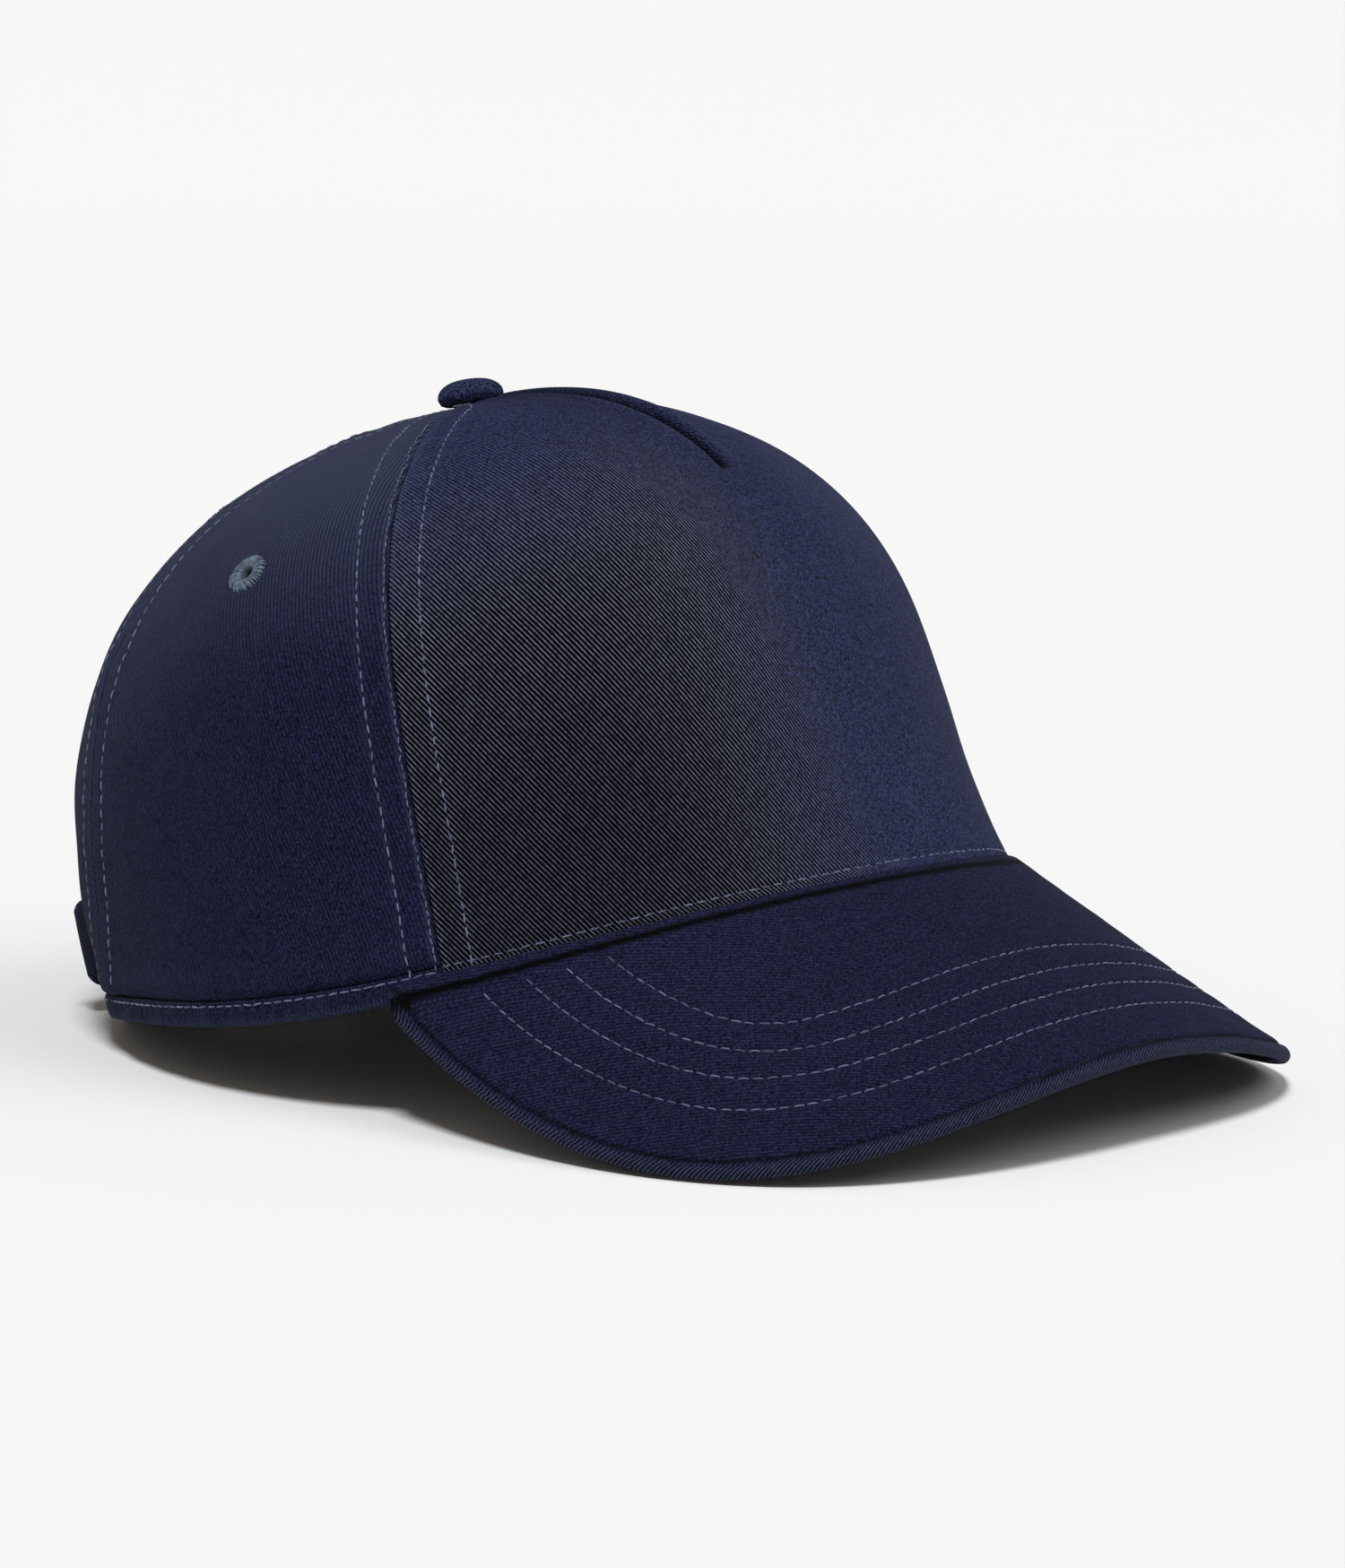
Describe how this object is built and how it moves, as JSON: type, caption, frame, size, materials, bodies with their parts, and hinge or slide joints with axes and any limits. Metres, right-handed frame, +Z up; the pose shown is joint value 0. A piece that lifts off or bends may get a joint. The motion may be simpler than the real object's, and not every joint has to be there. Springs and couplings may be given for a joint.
{
  "type": "baseball cap",
  "caption": "Structured baseball cap with a darted front panel, a pre-curved visor, embroidered eyelets and a hook-and-loop back strap.",
  "frame": {"origin": "on the table under the middle of the outline, where the cap stands by itself", "axes": "+Z up, the wearer faces -Y, so +X is the wearer's left"},
  "size_m": [0.183, 0.2579, 0.1351],
  "materials": {
    "navy_twill": "brushed cotton twill, navy",
    "sweatband_twill": "plain navy cotton, soft",
    "seam_tape": "folded navy cotton tape",
    "buckram": "stiffened open weave",
    "eyelet_thread": "shiny embroidery thread, blue-grey",
    "visor_board": "flexible plastic board",
    "rivet_metal": "plain steel",
    "hook_tape": "hook tape",
    "loop_tape": "fuzzy loop tape",
    "label": "blank woven satin"
  },
  "bodies": {
    "crown": {"front_panel": "navy_twill", "front_stiffener": "buckram", "right_side_panel": "navy_twill", "left_side_panel": "navy_twill", "right_back_panel": "navy_twill", "left_back_panel": "navy_twill", "right_side_eyelet": "eyelet_thread", "left_side_eyelet": "eyelet_thread", "right_back_eyelet": "eyelet_thread", "left_back_eyelet": "eyelet_thread", "right_front_seam_tape": "seam_tape", "right_rear_seam_tape": "seam_tape", "left_front_seam_tape": "seam_tape", "left_rear_seam_tape": "seam_tape", "centre_back_seam_tape": "seam_tape", "dart_tape": "seam_tape", "back_opening_tape": "seam_tape", "sweatband": "sweatband_twill", "right_hem_binding": "navy_twill", "left_hem_binding": "navy_twill", "visor_top_cover": "navy_twill", "visor_board": "visor_board", "visor_under_cover": "navy_twill", "button_cover": "navy_twill", "button_rivet": "rivet_metal", "button_washer": "rivet_metal", "hook_strap_root": "navy_twill", "loop_strap_root": "navy_twill", "maker_label": "label", "care_label": "label"},
    "hook_strap": {"hook_strap": "navy_twill", "hook_patch": "hook_tape"},
    "loop_strap": {"loop_strap": "navy_twill", "loop_patch": "loop_tape"}
  },
  "joints": [
    {"name": "hook_strap_peel", "type": "hinge", "parent": "crown", "child": "hook_strap", "pos_m": [0.0321, 0.1135, 0.0125], "axis": [0, 0, -1], "range_deg": [0, 90]},
    {"name": "loop_strap_flex", "type": "hinge", "parent": "crown", "child": "loop_strap", "pos_m": [-0.0327, 0.1132, 0.0125], "axis": [0, 0, -1], "range_deg": [0, 20]}
  ]
}
